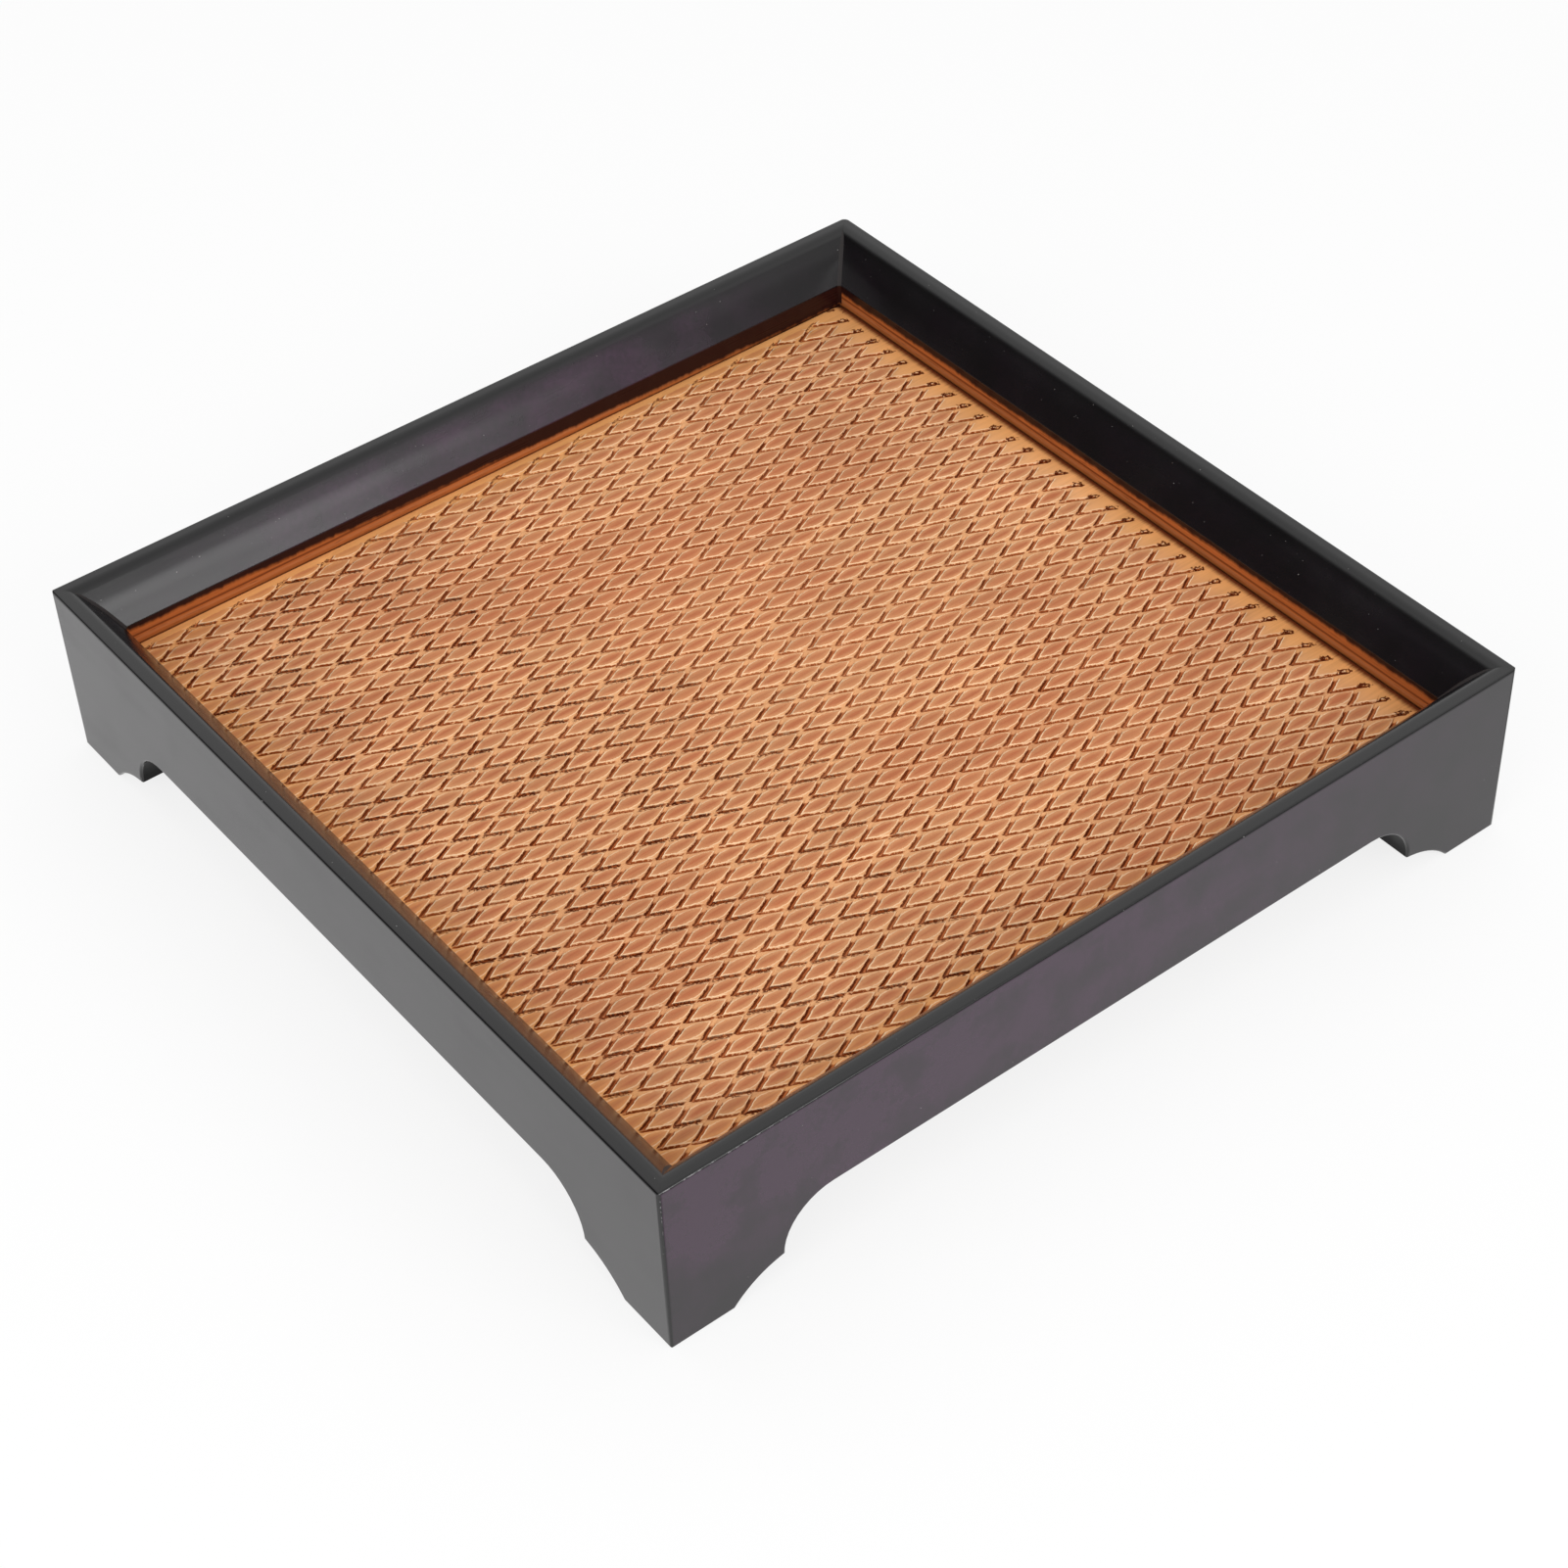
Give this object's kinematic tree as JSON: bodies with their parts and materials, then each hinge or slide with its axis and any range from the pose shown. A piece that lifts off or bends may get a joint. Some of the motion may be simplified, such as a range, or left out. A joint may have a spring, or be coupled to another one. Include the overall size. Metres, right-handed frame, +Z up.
{
  "type": "tea tray",
  "caption": "Square footed tea tray: black-lacquered mitred frame with bevelled inner faces and bracket feet round a sunken amber board with a carved diamond lattice.",
  "frame": {"origin": "middle of the footprint, on the surface that the feet stand on", "axes": "+Z up, +X to the right along the front rail, +Y from the front rail to the back rail"},
  "size_m": [0.25, 0.25, 0.05],
  "materials": {
    "black_lacquer": "satin-gloss black lacquer over wood",
    "carved_bamboo": "carbonised bamboo, carved, clear satin varnish",
    "bare_hardwood": "bare, glued in"
  },
  "bodies": {
    "root": {"front_rail": "black_lacquer", "right_rail": "black_lacquer", "back_rail": "black_lacquer", "left_rail": "black_lacquer", "carved_panel": "carved_bamboo", "front_left_spline": "bare_hardwood", "front_right_spline": "bare_hardwood", "back_right_spline": "bare_hardwood", "back_left_spline": "bare_hardwood"}
  },
  "joints": []
}
